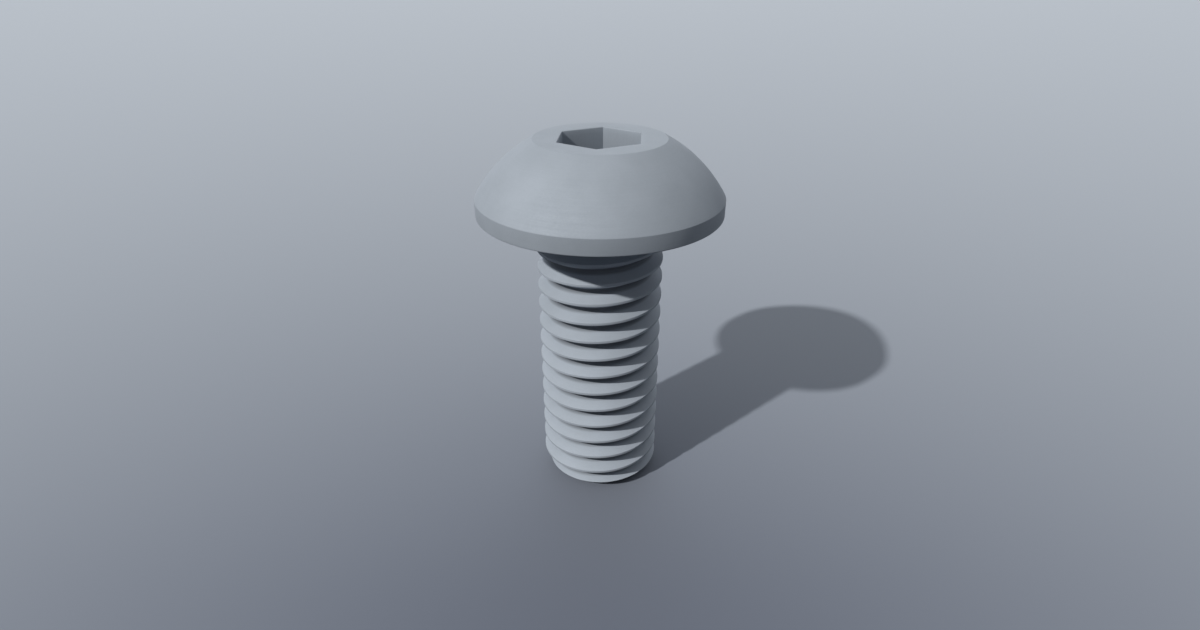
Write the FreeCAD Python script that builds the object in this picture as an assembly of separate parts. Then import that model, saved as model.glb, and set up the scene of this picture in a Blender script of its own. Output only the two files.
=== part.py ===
import FreeCAD, Part
import math
import os
from FreeCAD import Vector

os.makedirs("parts", exist_ok=True)

# The screw stands along Z with its head up. The origin is the centre of the bearing plane under the head,
# from which the length of the shank is counted. All sizes are in millimetres and angles in degrees.

# Head
head_diameter = 9.5
head_height = 2.75
rim_height = 0.63  # the straight band between the bearing face and the dome
top_flat_diameter = 5.0
neck_fillet_radius = 0.2

# Hexagon socket
socket_across_flats = 3.0
socket_depth = 1.6
socket_cone_depth = 0.4
socket_turn = -4.0  # a corner's direction, counted from +Y

# Thread: right-handed, metric, with flattened crests and roots
thread_diameter = 5.0
thread_pitch = 0.8
flank_angle = 60.0
shank_length = 12.0
crest_share = 1 / 8  # of the pitch that the crest's flat takes
root_share = 1 / 6  # of the pitch that the root's flat takes
runout_direction = 58.0  # where the groove starts to rise out of the shank, counted from +X
runout_sweep = 120.0  # how far round the groove takes to leave the shank

# Clearances
runout_land = 0.02  # between the neck's fillet and the groove's upper edge
groove_overshoot = 0.05  # by which the groove's section stands out of the shank
tip_relief = 0.05  # by which the tip is smaller in radius than the thread's root

# What follows from them
head_radius = head_diameter / 2
thread_radius = thread_diameter / 2
half_flank = math.radians(flank_angle / 2)
sharp_height = thread_pitch / 2 / math.tan(half_flank)
apex_radius = thread_radius - (1 - crest_share) * sharp_height
root_radius = apex_radius + root_share * sharp_height
tip_radius = root_radius - tip_relief
groove_half_width = thread_pitch * (1 - crest_share) / 2
runout_height = -(neck_fillet_radius + runout_land + groove_half_width)


def point(radius, height):
    """A point of an axial section, on the +X side."""
    return Vector(radius, 0, height)


def dome(rim_edge, flat_edge):
    """The dome's arc, part of a sphere on the screw's axis that runs through both edges."""
    chord = rim_edge - flat_edge
    middle = (rim_edge + flat_edge) / 2
    centre = point(0, middle.z + middle.x * chord.x / chord.z)
    radius = (rim_edge - centre).Length
    crown = centre + (middle - centre).normalize() * radius
    return Part.Arc(rim_edge, crown, flat_edge).toShape()


def neck_fillet():
    """The quarter round from the shank into the bearing face, as one spline."""
    centre = point(thread_radius + neck_fillet_radius, -neck_fillet_radius)
    reach = neck_fillet_radius * math.cos(math.radians(45))
    low = centre - point(neck_fillet_radius, 0)
    middle = centre + point(-reach, reach)
    high = centre + point(0, neck_fillet_radius)
    return Part.Arc(low, middle, high).toShape().toNurbs().Edges[0]


def blank():
    """The headed blank before threading: chamfered shank, neck fillet, rim, dome and top flat."""
    tip_centre = point(0, -shank_length)
    tip_edge = point(tip_radius, -shank_length)
    chamfer_top = point(thread_radius, -shank_length + thread_radius - tip_radius)
    neck_low = point(thread_radius, -neck_fillet_radius)
    neck_high = point(thread_radius + neck_fillet_radius, 0)
    rim_low = point(head_radius, 0)
    rim_high = point(head_radius, rim_height)
    flat_edge = point(top_flat_diameter / 2, head_height)
    flat_centre = point(0, head_height)
    outline = Part.Wire([
        Part.makeLine(tip_centre, tip_edge),
        Part.makeLine(tip_edge, chamfer_top),
        Part.makeLine(chamfer_top, neck_low),
        neck_fillet(),
        Part.makeLine(neck_high, rim_low),
        Part.makeLine(rim_low, rim_high),
        dome(rim_high, flat_edge),
        Part.makeLine(flat_edge, flat_centre),
        Part.makeLine(flat_centre, tip_centre),
    ])
    return Part.Face(outline).revolve(Vector(0, 0, 0), Vector(0, 0, 1), 360)


def groove_section():
    """The thread groove's section, a V with a flat root that opens outwards, centred on the height zero."""
    outer_radius = thread_radius + groove_overshoot
    outer_half = (outer_radius - apex_radius) * math.tan(half_flank)
    root_half = thread_pitch * root_share / 2
    return Part.makePolygon([
        point(outer_radius, outer_half),
        point(root_radius, root_half),
        point(root_radius, -root_half),
        point(outer_radius, -outer_half),
        point(outer_radius, outer_half),
    ])


def swept_groove(path):
    """The groove's section swept along a helix that starts on the +X side, upright all the way."""
    sweep = Part.BRepOffsetAPI.MakePipeShell(path)
    sweep.setBiNormalMode(Vector(0, 0, 1))
    sweep.add(groove_section(), False, False)
    sweep.build()
    sweep.makeSolid()
    return sweep.shape()


def groove():
    """The whole thread groove: full depth from past the tip to the run-out, where it winds out of the shank."""
    full_height = shank_length + runout_height + thread_pitch
    full = swept_groove(Part.makeLongHelix(thread_pitch, full_height, thread_radius, 0))
    full.rotate(Vector(0, 0, 0), Vector(1, 0, 0), 180)
    rise = thread_pitch * runout_sweep / 360
    depth = thread_radius + groove_overshoot - root_radius
    spread = math.degrees(math.atan(depth / rise))
    runout = swept_groove(Part.makeHelix(thread_pitch, rise, thread_radius, spread))
    pieces = [full, runout]
    for piece in pieces:
        piece.rotate(Vector(0, 0, 0), Vector(0, 0, 1), runout_direction)
        piece.translate(Vector(0, 0, runout_height))
    return pieces


def socket():
    """The hexagon socket with its shallow conical floor."""
    corner_radius = socket_across_flats / 2 / math.cos(math.radians(30))
    angles = [math.radians(90 + socket_turn + 60 * side) for side in range(7)]
    corners = [Vector(corner_radius * math.cos(a), corner_radius * math.sin(a), head_height) for a in angles]
    walls = Part.Face(Part.makePolygon(corners)).extrude(Vector(0, 0, -socket_depth))
    floor_height = head_height - socket_depth - socket_cone_depth
    floor = Part.makeCone(0, socket_across_flats / 2, socket_cone_depth, Vector(0, 0, floor_height))
    return walls.fuse(floor)


def button_head_screw():
    """The finished screw, one solid."""
    screw = blank()
    for piece in groove():
        screw = screw.cut(piece)
    return screw.cut(socket())


button_head_screw().exportStep("parts/button_head_screw.step")
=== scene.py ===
import math

import bpy
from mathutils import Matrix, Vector


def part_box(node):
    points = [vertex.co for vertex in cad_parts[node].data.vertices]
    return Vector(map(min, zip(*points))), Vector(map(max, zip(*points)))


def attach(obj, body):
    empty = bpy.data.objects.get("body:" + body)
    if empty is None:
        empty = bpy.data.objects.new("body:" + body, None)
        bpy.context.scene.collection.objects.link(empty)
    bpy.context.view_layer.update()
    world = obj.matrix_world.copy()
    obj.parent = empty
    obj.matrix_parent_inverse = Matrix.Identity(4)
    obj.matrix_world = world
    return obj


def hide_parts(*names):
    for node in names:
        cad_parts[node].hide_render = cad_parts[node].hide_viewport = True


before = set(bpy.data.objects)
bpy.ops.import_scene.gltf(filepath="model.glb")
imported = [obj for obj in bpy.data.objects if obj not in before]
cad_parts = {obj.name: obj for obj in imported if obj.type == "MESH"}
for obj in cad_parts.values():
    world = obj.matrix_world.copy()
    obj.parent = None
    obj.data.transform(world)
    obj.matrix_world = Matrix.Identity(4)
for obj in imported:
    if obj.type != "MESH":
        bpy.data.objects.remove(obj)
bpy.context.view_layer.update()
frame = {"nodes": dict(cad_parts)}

screwLow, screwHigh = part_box("button_head_screw")
mm = 0.001               # shapes are worked out in mm and go into the mesh in metres
hair = 0.0005            # mm; the top flat and the tip stay this much inside the frame's box
print("frame loaded:", ", ".join(frame["nodes"]))

screw = {                    # lengths in mm, angles in degrees
    # head
    "headRadius": min(screwHigh.x, screwHigh.y, -screwLow.x, -screwLow.y) / mm,
    "headHeight": screwHigh.z / mm - hair,
    "rimHeight": 0.63,
    "flatRadius": 2.5,           # the flat on top of the dome
    "roundShare": 0.94,          # of the flat's radius; inside it, the mesh goes from round to hexagonal
    "neckFillet": 0.2,
    "rimEdgeRound": 0.05,        # broken edges, as tumbling leaves them
    "domeEdgeRound": 0.045,
    "flatEdgeRound": 0.04,
    # socket
    "socketFlats": 3.0,
    "socketDepth": 1.6,
    "socketCone": 0.4,
    "socketTurn": 86.0,          # direction of one socket corner, degrees from +X
    "mouthRound": 0.03,
    # thread
    "threadRadius": 2.5,
    "pitch": 0.8,
    "flankAngle": 60.0,
    "crestShare": 1 / 8,         # of the pitch, and so is the root's
    "rootShare": 1 / 6,
    "crestRound": 0.012,
    "rootRound": 0.1,
    "runoutHeight": -0.57,       # where the groove starts to wind out of the shank
    "runoutDirection": 58.0,     # degrees from +X
    "runoutSweep": 120.0,
    "runoutOvershoot": 0.05,     # how far outside the shank the groove ends
    # tip
    "tipHeight": screwLow.z / mm + hair,
    "tipRelief": 0.05,           # the tip's flat is this much smaller in radius than the thread's root
    # fineness of the mesh
    "columns": 192,              # points round the axis, a multiple of six
    "domeRings": 26,
    "flatRings": 3,
    "mouthSteps": 4,
    "wallRings": 8,
    "coneRings": 10,
    "coneShare": 0.995,          # the socket's floor starts this close to the middles of its walls
    "tipRings": (0.97, 0.7, 0.4),        # shares of the tip's radius
    "arcSteps": 6,               # in each of the head's rounds
    "threadArcSteps": 3,
    "flankSteps": (0.03, 0.25, 0.5, 0.75, 0.97),  # shares of a flank, close by its ends to keep it flat
    "spareTurns": 2,             # of the thread, worked out past the tip and the neck and then cut off
    "sharpAngle": 28.0,          # faces that meet at more than this keep a sharp edge
}
forged, rolled, punched = range(3)       # the finish of each face: head and tip, thread, socket

# what follows from them
threadDepth = (1 - screw["crestShare"] - screw["rootShare"]) * screw["pitch"] / 2
threadDepth /= math.tan(math.radians(screw["flankAngle"] / 2))
rootRadius = screw["threadRadius"] - threadDepth
tipRadius = rootRadius - screw["tipRelief"]
flatRing = screw["flatRadius"] * screw["roundShare"]
socketFloor = screw["headHeight"] - screw["socketDepth"]
columnStep = 360 / screw["columns"]
columnAngles = [math.radians(screw["socketTurn"] + columnStep * k) for k in range(screw["columns"])]


# outlines are points (radius, height) in a half-plane through the axis

def turned(vector, angle):
    c, s = math.cos(angle), math.sin(angle)
    return Vector((vector.x * c - vector.y * s, vector.x * s + vector.y * c))


def roundedOutline(corners, arcSteps):
    # each corner is (radius, height, rounding); a rounding of 0 keeps it sharp
    outline = []
    for k, (radius, height, rounding) in enumerate(corners):
        if rounding == 0:
            outline.append((radius, height))
            continue
        here = Vector((radius, height))
        before = (Vector(corners[k - 1][:2]) - here).normalized()
        after = (Vector(corners[k + 1][:2]) - here).normalized()
        half = before.angle(after) / 2
        centre = here + (before + after).normalized() * rounding / math.sin(half)
        reach = rounding / math.tan(half)
        start = here + before * reach - centre
        end = here + after * reach - centre
        sweep = -start.angle_signed(end)
        for step in range(arcSteps + 1):
            outline.append(tuple(centre + turned(start, sweep * step / arcSteps)))
    return outline


def domeArc():
    # a sphere on the axis, through the rim's edge and the top flat's edge
    rimRadius, rimHeight = screw["headRadius"], screw["rimHeight"]
    flatRadius, flatHeight = screw["flatRadius"], screw["headHeight"]
    centre = flatRadius ** 2 + flatHeight ** 2 - rimRadius ** 2 - rimHeight ** 2
    centre /= 2 * (flatHeight - rimHeight)
    radius = math.hypot(flatRadius, flatHeight - centre)
    low = math.atan2(rimHeight - centre, rimRadius)
    high = math.atan2(flatHeight - centre, flatRadius)
    angles = [low + (high - low) * k / screw["domeRings"] for k in range(1, screw["domeRings"])]
    return [(radius * math.cos(a), centre + radius * math.sin(a), 0) for a in angles]


def headOutline():
    # from the end of the shank out along the bearing face, up the rim, over the dome and onto the flat
    corners = [
        (screw["threadRadius"], screw["tipHeight"], 0),      # down the shank, for its direction
        (screw["threadRadius"], 0, screw["neckFillet"]),
        (screw["headRadius"], 0, screw["rimEdgeRound"]),
        (screw["headRadius"], screw["rimHeight"], screw["domeEdgeRound"]),
        *domeArc(),
        (screw["flatRadius"], screw["headHeight"], screw["flatEdgeRound"]),
        (flatRing, screw["headHeight"], 0),
    ]
    return roundedOutline(corners, screw["arcSteps"])[2:]        # the shank's end is a ring already


def threadOutline():
    # one pitch, from the middle of a crest up to the middle of the next
    pitch, radius = screw["pitch"], screw["threadRadius"]
    crestEdge = pitch * (1 - screw["crestShare"]) / 2
    rootEdge = pitch * screw["rootShare"] / 2
    corners = [
        (radius, -pitch / 2, 0),
        (radius, -crestEdge, screw["crestRound"]),
        (rootRadius, -rootEdge, screw["rootRound"]),
        (rootRadius, rootEdge, screw["rootRound"]),
        (radius, crestEdge, screw["crestRound"]),
        (radius, pitch / 2, 0),
    ]
    rounded = [Vector(point) for point in roundedOutline(corners, screw["threadArcSteps"])]
    outline = []
    for here, after in zip(rounded, rounded[1:]):
        outline.append(tuple(here))
        if abs(after.x - here.x) > threadDepth / 2:      # a flank
            outline += [tuple(here.lerp(after, share)) for share in screw["flankSteps"]]
    return outline


# the mesh is columns of points round the axis, joined by faces

class ScrewMesh:
    def __init__(self):
        self.points = []
        self.faces = []
        self.finishes = []

    def add(self, radius, angle, height):
        self.points.append((radius * math.cos(angle) * mm, radius * math.sin(angle) * mm, height * mm))
        return len(self.points) - 1

    def join(self, corners, finish):
        # corners that fell together are taken once, and a face with fewer than three is left out
        kept = [point for k, point in enumerate(corners) if point != corners[k - 1]]
        if len(set(kept)) >= 3:
            self.faces.append(kept)
            self.finishes.append(finish)

    def roundRing(self, radius, height):
        return [self.add(radius, angle, height) for angle in columnAngles]

    def hexRing(self, innerRadius, height, outerRadius=0, share=0):
        # a hexagon, or a share of the way from it to a circle
        side = math.radians(60)      # what one side takes up, seen from the axis
        ring = []
        for angle in columnAngles:
            off = (angle - columnAngles[0]) % side - side / 2
            reach = innerRadius / math.cos(off) * (1 - share) + outerRadius * share
            ring.append(self.add(reach, angle, height))
        return ring

    def bridge(self, lower, upper, finish):
        for k in range(len(lower)):
            after = (k + 1) % len(lower)
            self.join([lower[k], lower[after], upper[after], upper[k]], finish)
        return upper

    def cap(self, ring, height, finish):
        centre = self.add(0, 0, height)
        for k in range(len(ring)):
            self.join([ring[k], ring[(k + 1) % len(ring)], centre], finish)


def chamferRadius(height):
    # the tip's chamfer, at 45 degrees
    return tipRadius + height - screw["tipHeight"]


def threadColumn(angle, outline, turns):
    # one column, from below the tip to above the neck; a point is [radius, height, on the tip's crease]
    pitch, radius = screw["pitch"], screw["threadRadius"]
    beyondRunout = angle - math.radians(screw["runoutDirection"])
    firstGroove = screw["runoutHeight"] + pitch * beyondRunout / math.tau
    rise = pitch * screw["runoutSweep"] / 360
    fade = threadDepth + screw["runoutOvershoot"]
    column = []
    for turn in turns:
        groove = firstGroove + turn * pitch
        lift = max(0, groove - screw["runoutHeight"]) / rise * fade      # the groove leaves the shank
        column += [[min(radius, r + lift), groove + z, False] for r, z in outline]
    gaps = [r - chamferRadius(z) for r, z, _ in column]
    for k in range(len(column) - 1):
        if gaps[k] * gaps[k + 1] < 0 and column[k][1] > screw["tipHeight"]:
            # the thread meets the chamfer between these two points, so the nearer one moves there
            share = gaps[k] / (gaps[k] - gaps[k + 1])
            z = column[k][1] + (column[k + 1][1] - column[k][1]) * share
            column[k + (share > 0.5)] = [chamferRadius(z), z, True]
    return [[min(r, chamferRadius(z)), z, crease] for r, z, crease in column]


def addThread(mesh):
    # from the tip's edge to the end of the neck; returns those two rings
    outline = threadOutline()
    low, high = screw["tipHeight"], -screw["neckFillet"]
    tipRing = mesh.roundRing(tipRadius, low)
    neckRing = mesh.roundRing(screw["threadRadius"], high)
    turns = range(math.floor(low / screw["pitch"]) - screw["spareTurns"], screw["spareTurns"] + 1)
    points, creases = [], []
    for k, angle in enumerate(columnAngles):
        column = threadColumn(angle, outline, turns)
        creases.append([crease for _, _, crease in column])
        points.append([])
        for r, z, _ in column:
            if z >= high:
                points[k].append(neckRing[k])
            elif z <= low:
                points[k].append(tipRing[k])
            else:
                points[k].append(mesh.add(r, angle, z))
    for k in range(len(points)):
        after = (k + 1) % len(points)
        climb = len(outline) if after == 0 else 0        # the helix closes one pitch higher
        for row in range(len(points[k]) - 1 - climb):
            places = [(k, row), (after, row + climb), (after, row + climb + 1), (k, row + 1)]
            corners = [points[column][place] for column, place in places]
            crease = [creases[column][place] for column, place in places]
            if crease == [True, False, True, False]:     # the crease runs across this face
                mesh.join(corners[:3], rolled)
                mesh.join([corners[0], *corners[2:]], rolled)
            elif crease == [False, True, False, True]:
                mesh.join([*corners[:2], corners[3]], rolled)
                mesh.join(corners[1:], rolled)
            else:
                mesh.join(corners, rolled)
    return tipRing, neckRing


def addHead(mesh, ring):
    for radius, height in headOutline():
        ring = mesh.bridge(ring, mesh.roundRing(radius, height), forged)
    return ring


def addSocket(mesh, ring):
    inner, top, edge = screw["socketFlats"] / 2, screw["headHeight"], screw["mouthRound"]
    for step in range(1, screw["flatRings"] + 1):        # the flat goes from round to hexagonal
        following = mesh.hexRing(inner + edge, top, flatRing, 1 - step / screw["flatRings"])
        ring = mesh.bridge(ring, following, forged)
    for step in range(1, screw["mouthSteps"] + 1):       # the mouth's edge, a quarter circle
        turn = math.radians(90) * step / screw["mouthSteps"]
        following = mesh.hexRing(inner + edge * (1 - math.sin(turn)), top - edge * (1 - math.cos(turn)))
        ring = mesh.bridge(ring, following, forged)
    mouthFoot = top - edge
    for step in range(1, screw["wallRings"] + 1):
        height = mouthFoot + (socketFloor - mouthFoot) * step / screw["wallRings"]
        ring = mesh.bridge(ring, mesh.hexRing(inner, height), punched)
    for step in range(screw["coneRings"]):               # a ledge in each corner, then the cone
        share = screw["coneShare"] * (1 - step / screw["coneRings"])
        following = mesh.roundRing(inner * share, socketFloor - screw["socketCone"] * (1 - share))
        ring = mesh.bridge(ring, following, punched)
    mesh.cap(ring, socketFloor - screw["socketCone"], punched)


def addTip(mesh, ring):
    for share in screw["tipRings"]:
        following = mesh.roundRing(tipRadius * share, screw["tipHeight"])
        mesh.bridge(following, ring, forged)
        ring = following
    mesh.cap(ring[::-1], screw["tipHeight"], forged)


def buildScrew(finishes):
    mesh = ScrewMesh()
    tipRing, neckRing = addThread(mesh)
    addTip(mesh, tipRing)
    addSocket(mesh, addHead(mesh, neckRing))
    data = bpy.data.meshes.new("screwBody")
    data.from_pydata(mesh.points, [], mesh.faces)
    for finish in finishes:
        data.materials.append(finish)
    data.polygons.foreach_set("material_index", mesh.finishes)
    data.update()
    data.shade_smooth()
    data.set_sharp_from_angle(angle=math.radians(screw["sharpAngle"]))
    body = bpy.data.objects.new("screwBody", data)
    bpy.context.collection.objects.link(body)
    print("screw body built:", len(mesh.points), "points,", len(mesh.faces), "faces")
    return body


# materials

class Nodes:
    # short ways to add and wire the nodes of a material or the world; end is the node that they lead to
    def __init__(self, owner, end):
        owner.use_nodes = True
        self.tree = owner.node_tree
        self.end = self.tree.nodes[end]

    def add(self, kind, inputs=None, **settings):
        node = self.tree.nodes.new(kind)
        for name, value in settings.items():
            setattr(node, name, value)
        for name, value in (inputs or {}).items():
            if isinstance(value, bpy.types.NodeSocket):
                self.tree.links.new(value, node.inputs[name])
            else:
                node.inputs[name].default_value = value
        return node

    def math(self, operation, *values):
        return self.add("ShaderNodeMath", dict(enumerate(values)), operation=operation).outputs[0]

    def stretch(self, value, low, high, outLow, outHigh):
        ends = {"Value": value, "From Min": low, "From Max": high, "To Min": outLow, "To Max": outHigh}
        return self.add("ShaderNodeMapRange", ends).outputs["Result"]

    def blend(self, share, a, b):
        inputs = {"Factor": share, "A": a, "B": b}
        return self.add("ShaderNodeMix", inputs, data_type="RGBA").outputs["Result"]

    def noise(self, spot, scale, detail, roughness):
        inputs = {"Vector": spot, "Scale": scale, "Detail": detail, "Roughness": roughness}
        return self.add("ShaderNodeTexNoise", inputs).outputs["Fac"]

    def parts(self, vector):
        return self.add("ShaderNodeSeparateXYZ", {0: vector}).outputs

    def placeInMm(self):
        spot = self.add("ShaderNodeTexCoord").outputs["Object"]
        return self.add("ShaderNodeVectorMath", {0: spot, "Scale": 1 / mm}, operation="SCALE").outputs[0]

    def shown(self):
        # 1 where a thing is seen, straight on or in a reflection, and 0 where it only gives light
        rays = self.add("ShaderNodeLightPath").outputs
        reflected = self.math("MAXIMUM", rays["Is Glossy Ray"], rays["Is Transmission Ray"])
        return self.math("MAXIMUM", rays["Is Camera Ray"], reflected)

    def wire(self, output, socket):
        self.tree.links.new(output, self.end.inputs[socket])


steel = {
    "metallic": 0.3,             # a dull grey skin over the metal
    "roughness": 0.76,
    "noise": (3.0, 0.6),         # detail and roughness
    "noiseSpan": (0.3, 0.7),     # most of it lies between these
    "cloudScale": 0.55,          # per mm, broad faint changes of tone
    "grainScale": 16.0,          # per mm, the satin skin
    "grainRoughness": 0.05,      # how far the skin moves the roughness
    "grainHeight": 0.5,
    "bumpStrength": 0.35,
    "bumpDistance": 0.000006,    # metres
    "paintedShade": (0.130, 0.145, 0.168, 1),   # painted shade, darkening the thread's root and down in the socket where shade falls
    "rootPaintedShade": 1.0,            # how far the root takes that painted shade
    "rootPaintedShadeFrom": 0.34,       # mm below the crest
    # how far the socket's floor takes that painted shade, and where it starts
    "socketPaintedShade": 0.5,
    "socketPaintedShadeFrom": 0.05,     # mm below the flat
    # each finish has its tones and its drawn-out marks, with scales per mm along x and y, outward and up
    "forged": {                  # rings round the head, left by the die and the tumbling
        "light": (0.376, 0.422, 0.480, 1),
        "dark": (0.342, 0.386, 0.439, 1),
        "marks": (0.35, 14.0, -14.0),
        "markHeight": 0.6,
        "markRoughness": 0.04,
    },
    "rolled": {                  # tones brighter than the head's, a painted lift of light on the thread; with streaks along the thread from the rolling dies
        "light": (0.452, 0.506, 0.574, 1),
        "dark": (0.416, 0.467, 0.528, 1),
        "marks": (0.6, 22.0, -28.6),
        "markHeight": 0.8,
        "markRoughness": 0.05,
    },
    "punched": {                 # drag lines down the socket's walls
        "light": (0.376, 0.422, 0.480, 1),
        "dark": (0.342, 0.386, 0.439, 1),
        "marks": (18.0, 0.0, 0.7),
        "markHeight": 1.2,
        "markRoughness": 0.06,
    },
}


def steelFinish(kind, paintedShading=None):
    # the function passed in gives how far a place takes the painted shade's tone, painted into recesses
    finish = steel[kind]
    material = bpy.data.materials.new(kind + "Steel")
    nodes = Nodes(material, "Principled BSDF")
    place = nodes.placeInMm()
    x, y, z = nodes.parts(place)
    level = nodes.add("ShaderNodeCombineXYZ", {0: x, 1: y}).outputs[0]
    radius = nodes.add("ShaderNodeVectorMath", {0: level}, operation="LENGTH").outputs["Value"]

    cloud = nodes.noise(place, steel["cloudScale"], *steel["noise"])
    tone = nodes.blend(nodes.stretch(cloud, *steel["noiseSpan"], 0.0, 1.0), finish["dark"], finish["light"])
    # painted shade: the thread's root and the socket are darkened in the base colour
    if paintedShading:
        tone = nodes.blend(paintedShading(nodes, radius, z), tone, steel["paintedShade"])
    nodes.wire(tone, "Base Color")

    grain = nodes.noise(place, steel["grainScale"], *steel["noise"])
    along, outward, upward = finish["marks"]
    across = nodes.math("ADD", nodes.math("MULTIPLY", radius, outward), nodes.math("MULTIPLY", z, upward))
    drawn = {0: nodes.math("MULTIPLY", x, along), 1: nodes.math("MULTIPLY", y, along), 2: across}
    drawnOut = nodes.add("ShaderNodeCombineXYZ", drawn).outputs[0]
    marks = nodes.noise(drawnOut, 1.0, *steel["noise"])          # the scales are in drawnOut already

    shifts = []
    for pattern, most in ((grain, steel["grainRoughness"]), (marks, finish["markRoughness"])):
        shifts.append(nodes.stretch(pattern, *steel["noiseSpan"], -most, most))
    shift = nodes.math("ADD", *shifts)
    nodes.wire(nodes.math("ADD", shift, steel["roughness"]), "Roughness")
    height = nodes.math("ADD", nodes.math("MULTIPLY", grain, steel["grainHeight"]),
                        nodes.math("MULTIPLY", marks, finish["markHeight"]))
    bump = {"Height": height, "Strength": steel["bumpStrength"], "Distance": steel["bumpDistance"]}
    nodes.wire(nodes.add("ShaderNodeBump", bump).outputs[0], "Normal")
    nodes.end.inputs["Metallic"].default_value = steel["metallic"]
    return material


# painted shade, darkest down in the thread's root
def paintRootShade(nodes, radius, z):
    start = screw["threadRadius"] - steel["rootPaintedShadeFrom"]
    return nodes.stretch(radius, start, rootRadius, 0.0, steel["rootPaintedShade"])


# painted shade, darker down in the socket
def paintSocketShade(nodes, radius, z):
    start = screw["headHeight"] - steel["socketPaintedShadeFrom"]
    return nodes.stretch(z, start, socketFloor, 0.0, steel["socketPaintedShade"])


# floor, light and camera

floor = {
    "far": (0.500, 0.547, 0.607, 1),
    # the darkest tone of the painted shade on the paper
    "paintedShadeTone": (0.149, 0.169, 0.214, 1),
    "paintedShadeFrom": (0, -24.9, 8.6),        # mm; painted shade: the paper darkens towards the foot of this point
    "nearSlant": 0.78,           # the point's height over its distance, where the painted shade's darkest tone is reached
    "turnPale": -10.5,           # mm along Y, in front of the screw; past it the painted shade fades and the paper turns pale again
    "turnSoftness": 12.0,        # mm
    "glow": 0.08,                # share of the paper's tone that lights the screw's dull skin
    "reach": 3.0,                # metres
    "roughness": 1.0,
    "specular": 0.0,
}
light = {
    "keyFrom": (-0.601, -0.509, 0.616),  # the direction that it shines from
    "keyStrength": 2.72,
    "keyColour": (1.0, 0.975, 0.94),
    "keyAngle": 1.6,             # degrees across; more is a softer shadow
    "low": (0.045, 0.048, 0.056, 1),     # the studio's sides
    "overhead": (0.635, 0.635, 0.635, 1),
    "overheadPower": 2.0,        # of the height; more is a smaller, higher light
    "card": (3.0, 3.06, 3.14, 1),                # a bright card behind, which lights the top flat
    "cardPower": 5.0,
    "backdrop": (0.47, 0.50, 0.55, 1),
    "backdropEdge": (0.42, 0.6),         # it ends between these heights, at a distance of 1
}
view = {
    "from": (0, -24.9, 8.593),   # mm
    "pitch": 27.95,              # degrees below the level
    "focalPixels": 675.5,        # in a picture 1200 wide
    "pictureWidth": 1200,
    "sensorWidth": 36,
    "clip": (0.001, 10),         # metres
}


def floorPaper():
    material = bpy.data.materials.new("paleFloor")
    nodes = Nodes(material, "Principled BSDF")
    x, y, _ = nodes.parts(nodes.placeInMm())
    # painted shade on the paper, a dark pool in front of the screw
    mirrored = nodes.math("SUBTRACT", 2 * floor["turnPale"], y)
    back = nodes.math("SMOOTH_MAX", y, mirrored, floor["turnSoftness"])
    spot = nodes.add("ShaderNodeCombineXYZ", {0: x, 1: back, 2: screw["tipHeight"]}).outputs[0]
    ends = {0: spot, 1: floor["paintedShadeFrom"]}
    away = nodes.add("ShaderNodeVectorMath", ends, operation="DISTANCE").outputs["Value"]
    slant = nodes.math("DIVIDE", floor["paintedShadeFrom"][2] - screw["tipHeight"], away)
    tone = nodes.blend(nodes.stretch(slant, 0.0, floor["nearSlant"], 0.0, 1.0), floor["far"], floor["paintedShadeTone"])
    share = nodes.stretch(nodes.shown(), 0.0, 1.0, floor["glow"], 1.0)
    paper = nodes.add("ShaderNodeVectorMath", {0: tone, "Scale": share}, operation="SCALE").outputs[0]
    nodes.wire(paper, "Base Color")
    nodes.end.inputs["Roughness"].default_value = floor["roughness"]
    nodes.end.inputs["Specular IOR Level"].default_value = floor["specular"]
    return material


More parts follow.
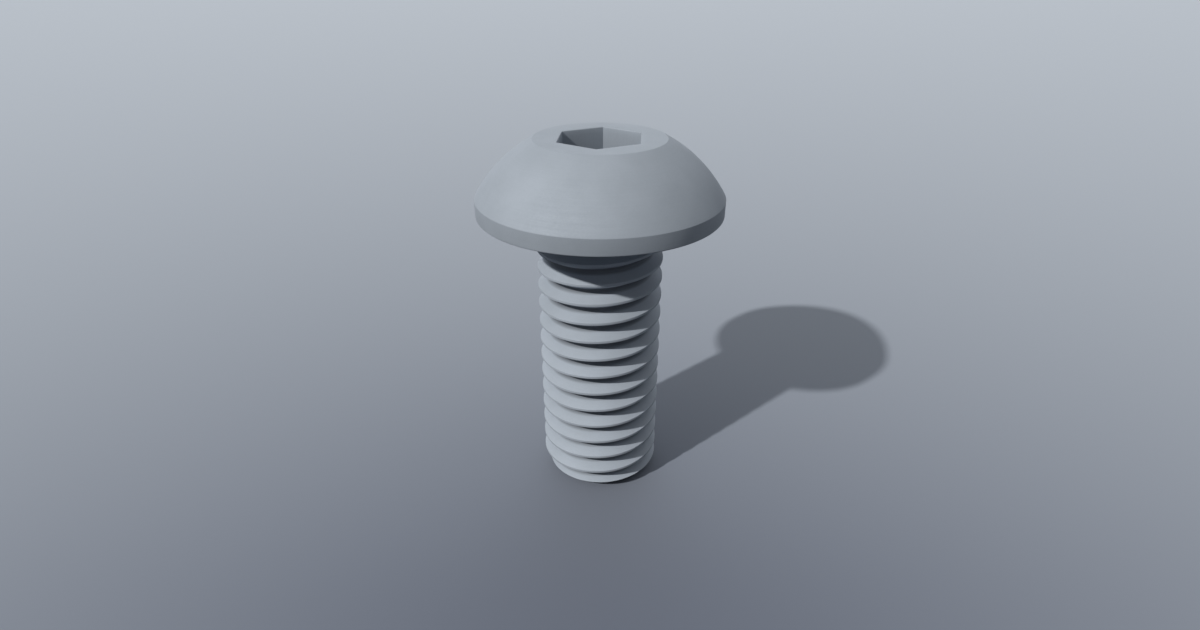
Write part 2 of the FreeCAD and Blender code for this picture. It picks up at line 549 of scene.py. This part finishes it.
def buildFloor():
    reach, height = floor["reach"], screwLow.z
    data = bpy.data.meshes.new("floor")
    corners = [(x * reach, y * reach, height) for x, y in ((-1, -1), (1, -1), (1, 1), (-1, 1))]
    data.from_pydata(corners, [], [(0, 1, 2, 3)])
    data.materials.append(floorPaper())
    sheet = bpy.data.objects.new("floor", data)
    bpy.context.collection.objects.link(sheet)


def buildKeyLamp():
    data = bpy.data.lights.new("keyLamp", "SUN")
    data.energy = light["keyStrength"]
    data.color = light["keyColour"]
    data.angle = math.radians(light["keyAngle"])
    lamp = bpy.data.objects.new("keyLamp", data)
    lamp.rotation_euler = Vector(light["keyFrom"]).to_track_quat("Z", "Y").to_euler()
    bpy.context.collection.objects.link(lamp)


def buildStudio():
    # bright overhead and dark round the sides, with the card behind; the backdrop shows above the floor
    world = bpy.data.worlds.new("studio")
    bpy.context.scene.world = world
    nodes = Nodes(world, "Background")
    _, back, up = nodes.parts(nodes.add("ShaderNodeTexCoord").outputs["Generated"])
    overhead = nodes.math("POWER", nodes.math("MAXIMUM", up, 0.0), light["overheadPower"])
    behind = nodes.math("POWER", nodes.math("MAXIMUM", back, 0.0), light["cardPower"])
    glow = nodes.blend(overhead, light["low"], light["overhead"])
    glow = nodes.blend(behind, glow, light["card"])
    low = nodes.stretch(up, *light["backdropEdge"], 1.0, 0.0)
    nodes.wire(nodes.blend(nodes.math("MULTIPLY", low, nodes.shown()), glow, light["backdrop"]), "Color")


def buildCamera():
    data = bpy.data.cameras.new("camera")
    data.sensor_width = view["sensorWidth"]
    data.lens = view["sensorWidth"] * view["focalPixels"] / view["pictureWidth"]
    data.clip_start, data.clip_end = view["clip"]
    camera = bpy.data.objects.new("camera", data)
    camera.location = Vector(view["from"]) * mm
    camera.rotation_euler = (math.radians(90 - view["pitch"]), 0, 0)
    bpy.context.collection.objects.link(camera)
    bpy.context.scene.camera = camera


finishes = [                 # in the order of forged, rolled and punched above
    steelFinish("forged"),
    steelFinish("rolled", paintRootShade),
    steelFinish("punched", paintSocketShade),
]
print("steel finishes made")

body = buildScrew(finishes)
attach(body, "root")
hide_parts("button_head_screw")
print("screw dressed")

buildFloor()
buildKeyLamp()
buildStudio()
buildCamera()
bpy.context.scene.view_settings.view_transform = "Standard"
print("floor, light and camera placed")
